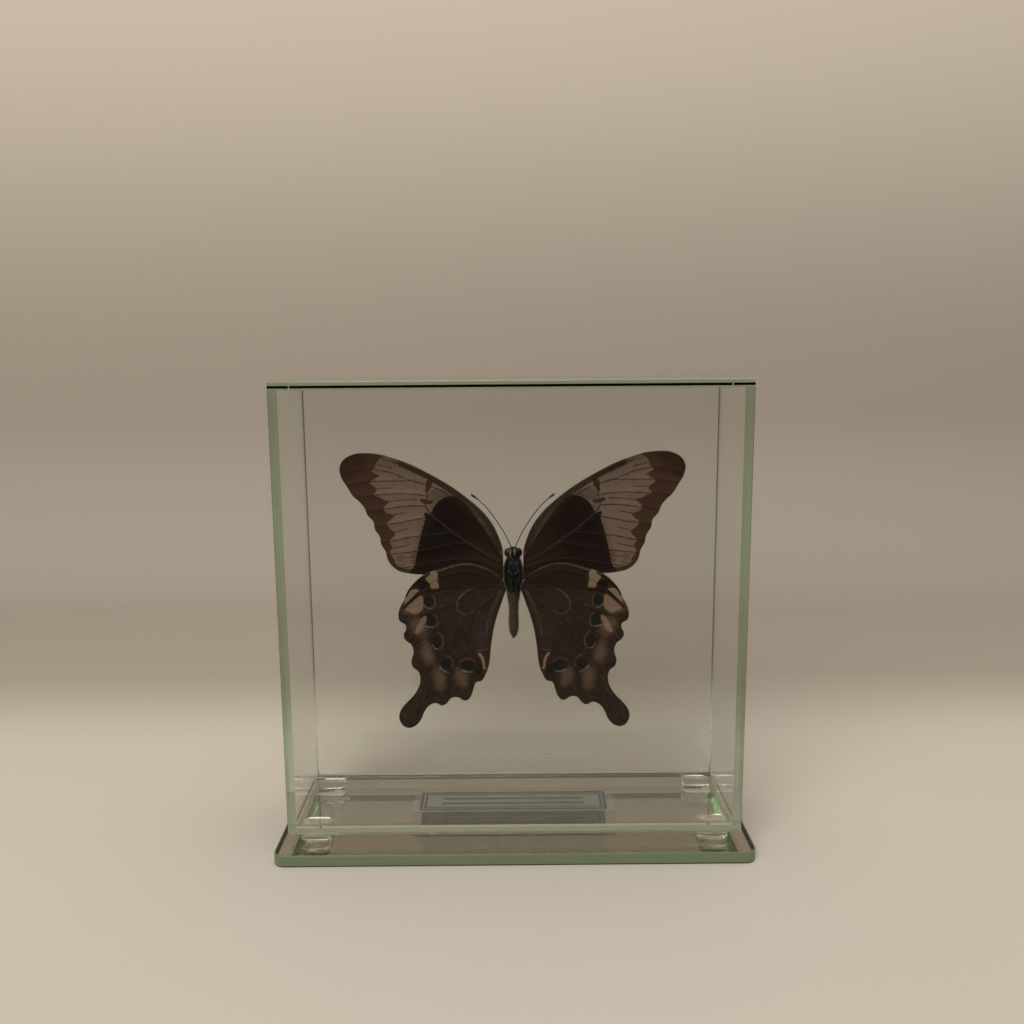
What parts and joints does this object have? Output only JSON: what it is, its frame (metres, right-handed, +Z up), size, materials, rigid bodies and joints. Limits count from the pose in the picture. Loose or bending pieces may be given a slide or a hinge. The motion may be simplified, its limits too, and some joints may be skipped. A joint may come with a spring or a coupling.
{
  "type": "butterfly in a glass display box",
  "caption": "Spread swallowtail butterfly fixed inside a closed square glass box that stands on clear pads on a wider mirror base.",
  "frame": {"origin": "middle of the mirror base's underside, which stands on the table", "axes": "+Z up; +X to the right along the box's width, as seen from the side that the butterfly's underside faces; +Y from that side to the rear pane"},
  "size_m": [0.1208, 0.0464, 0.1194],
  "materials": {
    "mirror_base": "back-silvered float glass with ground green edges",
    "clear_pad": "clear soft polyurethane",
    "float_glass": "clear polished, green at the edges",
    "label_film": "clear film with a double blue frame",
    "clear_acrylic": "clear polished",
    "body_hair": "dark hair",
    "forewing_scales": "dark brown scales with a pale outer band",
    "hindwing_scales": "dark brown scales with eyespots",
    "antenna_horn": "dark horn"
  },
  "bodies": {
    "root": {"mirror_base": "mirror_base", "pad_front_left": "clear_pad", "pad_front_right": "clear_pad", "pad_rear_left": "clear_pad", "pad_rear_right": "clear_pad", "glass_floor": "float_glass", "glass_top": "float_glass", "glass_front": "float_glass", "glass_rear": "float_glass", "glass_left": "float_glass", "glass_right": "float_glass", "label": "label_film", "support_peg": "clear_acrylic", "butterfly_body": "body_hair", "forewing_left": "forewing_scales", "forewing_right": "forewing_scales", "hindwing_left": "hindwing_scales", "hindwing_right": "hindwing_scales", "antenna_left": "antenna_horn", "antenna_right": "antenna_horn"}
  },
  "joints": []
}
